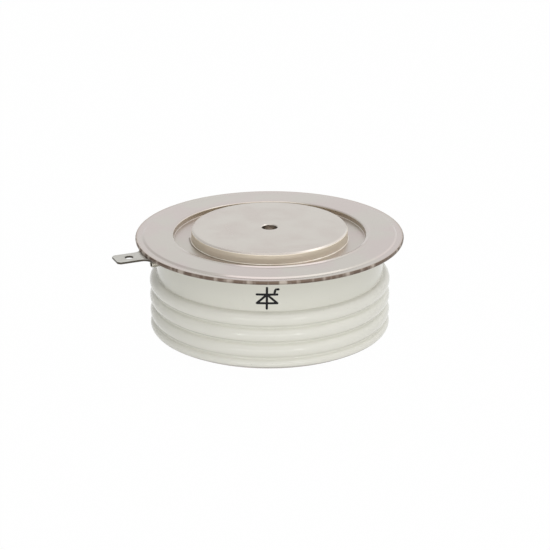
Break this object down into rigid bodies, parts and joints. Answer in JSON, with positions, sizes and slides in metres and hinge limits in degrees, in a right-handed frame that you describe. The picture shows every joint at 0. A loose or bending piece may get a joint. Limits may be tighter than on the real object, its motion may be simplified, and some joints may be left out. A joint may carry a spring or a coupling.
{
  "type": "disc thyristor",
  "caption": "Press-pack disc thyristor: plated copper pole faces, a stamped flange with a tab and gate tube, and a ribbed glazed ceramic ring around the silicon.",
  "frame": {"origin": "centre of the anode contact face, at the mouth of its centring hole", "axes": "+Z from the anode to the cathode contact face; the tab and the gate tube point to -X, turned towards -Y"},
  "size_m": [0.0643, 0.06, 0.026],
  "materials": {
    "plated_pole": "nickel-plated copper, finely turned",
    "plated_sheet": "nickel-plated sheet, satin",
    "plated_fitting": "nickel-plated, satin",
    "ceramic": "glossy glaze",
    "molybdenum": "lapped",
    "silicon": "lapped, aluminised",
    "edge_rubber": "cast silicone rubber",
    "insulator": "white fluoropolymer",
    "spring_steel": "bright drawn",
    "silvered": "silver-plated"
  },
  "bodies": {
    "root": {"anode_pole_piece": "plated_pole", "cathode_pole_piece": "plated_pole", "anode_flange": "plated_sheet", "cathode_diaphragm": "plated_sheet", "ceramic_weld_flange": "plated_sheet", "gate_tube": "plated_fitting", "auxiliary_cathode_tab": "plated_fitting", "ceramic_housing": "ceramic", "anode_molybdenum_disc": "molybdenum", "cathode_molybdenum_disc": "molybdenum", "silicon_wafer": "silicon", "wafer_edge_rubber": "edge_rubber", "centring_ring": "insulator", "gate_insulating_cup": "insulator", "gate_lead_sleeve": "insulator", "gate_thrust_washer": "spring_steel", "gate_spring": "spring_steel", "gate_contact_pin": "silvered", "gate_lead": "silvered"}
  },
  "joints": []
}
